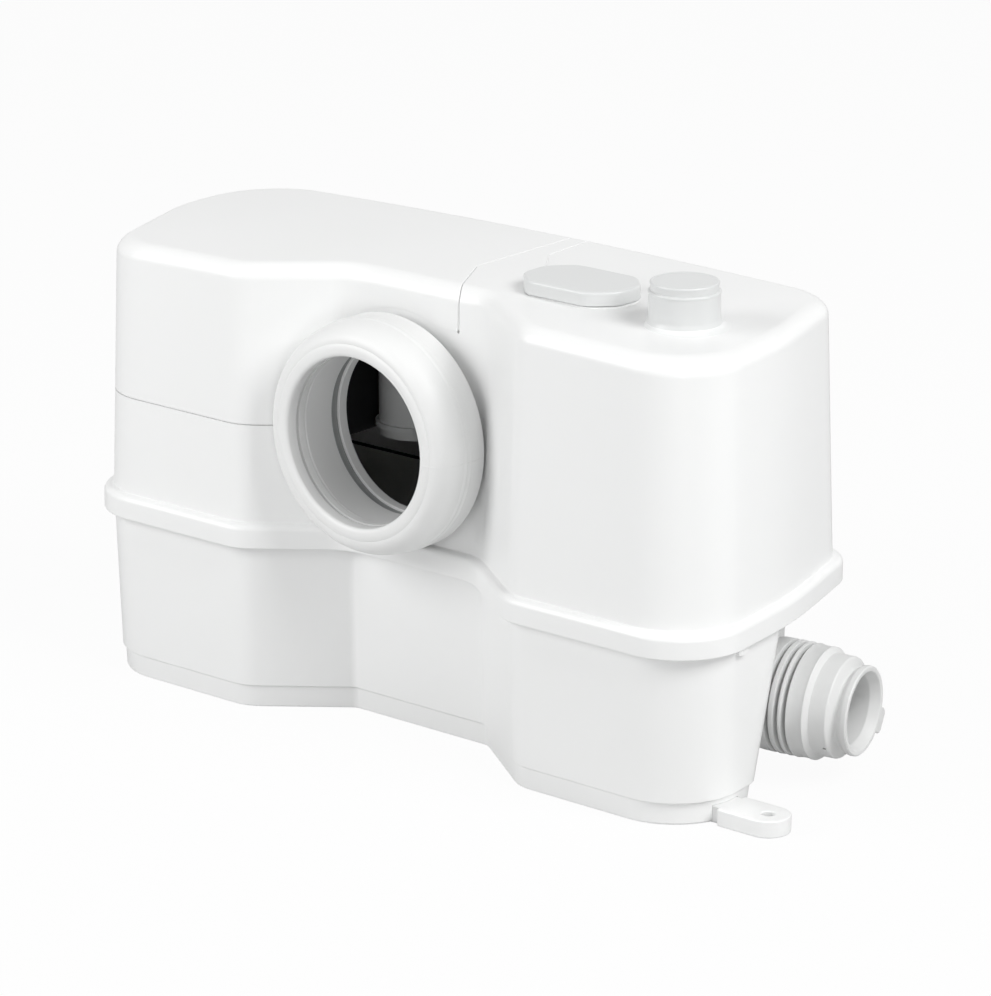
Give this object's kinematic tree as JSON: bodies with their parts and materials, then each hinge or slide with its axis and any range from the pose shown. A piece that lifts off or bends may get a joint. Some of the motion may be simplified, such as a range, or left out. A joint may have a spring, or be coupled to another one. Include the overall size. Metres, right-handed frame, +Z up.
{
  "type": "macerator toilet pump",
  "caption": "Free-standing macerator toilet pump: waisted tank and lid, rubber pan inlet, stepped outlet adaptor, lift-off motor cover, grinder pump and check valve inside.",
  "frame": {"origin": "middle of the footprint on the floor, midway between the lobes' front face and the back face", "axes": "+X towards the outlet end, -Y towards the toilet inlet, +Z up"},
  "size_m": [0.5557, 0.1952, 0.293],
  "materials": {
    "white_plastic": "satin gloss",
    "grey_plastic": "satin",
    "dark_plastic": "matte",
    "steel": "brushed",
    "pale_rubber": "matte",
    "dark_rubber": "matte",
    "cast_alloy": "cast",
    "core_iron": "varnished",
    "filter_mat": "open foam",
    "red_plastic": "satin"
  },
  "bodies": {
    "housing": {"tank": "white_plastic", "lid": "white_plastic", "lid_gasket": "dark_rubber", "inlet_sleeve": "pale_rubber", "vent_filter": "filter_mat", "stub_plug": "white_plastic", "outlet_adaptor": "pale_rubber", "valve_body": "grey_plastic", "flap_pin": "steel", "discharge_pipe": "grey_plastic", "pipe_collar": "dark_rubber", "foot_left": "white_plastic", "foot_right": "white_plastic", "motor_carrier": "dark_plastic", "motor_can": "cast_alloy", "motor_end_plate": "cast_alloy", "stator": "core_iron", "bearing_upper": "steel", "bearing_lower": "steel", "shaft_seal": "dark_rubber", "pump_column": "dark_plastic", "volute": "grey_plastic", "cutting_ring": "steel", "strainer_basket": "dark_plastic", "level_bell": "grey_plastic", "diaphragm": "dark_rubber", "control_box": "dark_plastic", "capacitor": "cast_alloy", "cable_gland": "dark_rubber", "motor_screws": "steel", "column_screws": "steel"},
    "rotor": {"rotor_core": "core_iron", "shaft": "steel", "impeller": "grey_plastic", "cutter": "steel"},
    "flap": {"flap": "dark_rubber"},
    "plunger": {"switch_plunger": "red_plastic"},
    "cover": {"motor_cover": "white_plastic"},
    "cap": {"vent_cap": "white_plastic"}
  },
  "joints": [
    {"name": "rotor_spin", "type": "hinge", "parent": "housing", "child": "rotor", "pos_m": [-0.153, -0.009, 0.1], "axis": [0, 0, 1], "continuous": true},
    {"name": "flap_swing", "type": "hinge", "parent": "housing", "child": "flap", "pos_m": [0.11768, 0.02143, 0.06727], "axis": [0, -1, 0], "range_deg": [0, 55]},
    {"name": "plunger_push", "type": "slide", "parent": "housing", "child": "plunger", "axis": [0, 0, 1], "range_m": [0, 0.002], "stiffness_N_per_m": 150},
    {"name": "cover_lift", "type": "slide", "parent": "housing", "child": "cover", "axis": [0, 0, 1], "range_m": [0, 0.12]},
    {"name": "cap_lift", "type": "slide", "parent": "housing", "child": "cap", "axis": [0, 0, 1], "range_m": [0, 0.04]}
  ]
}
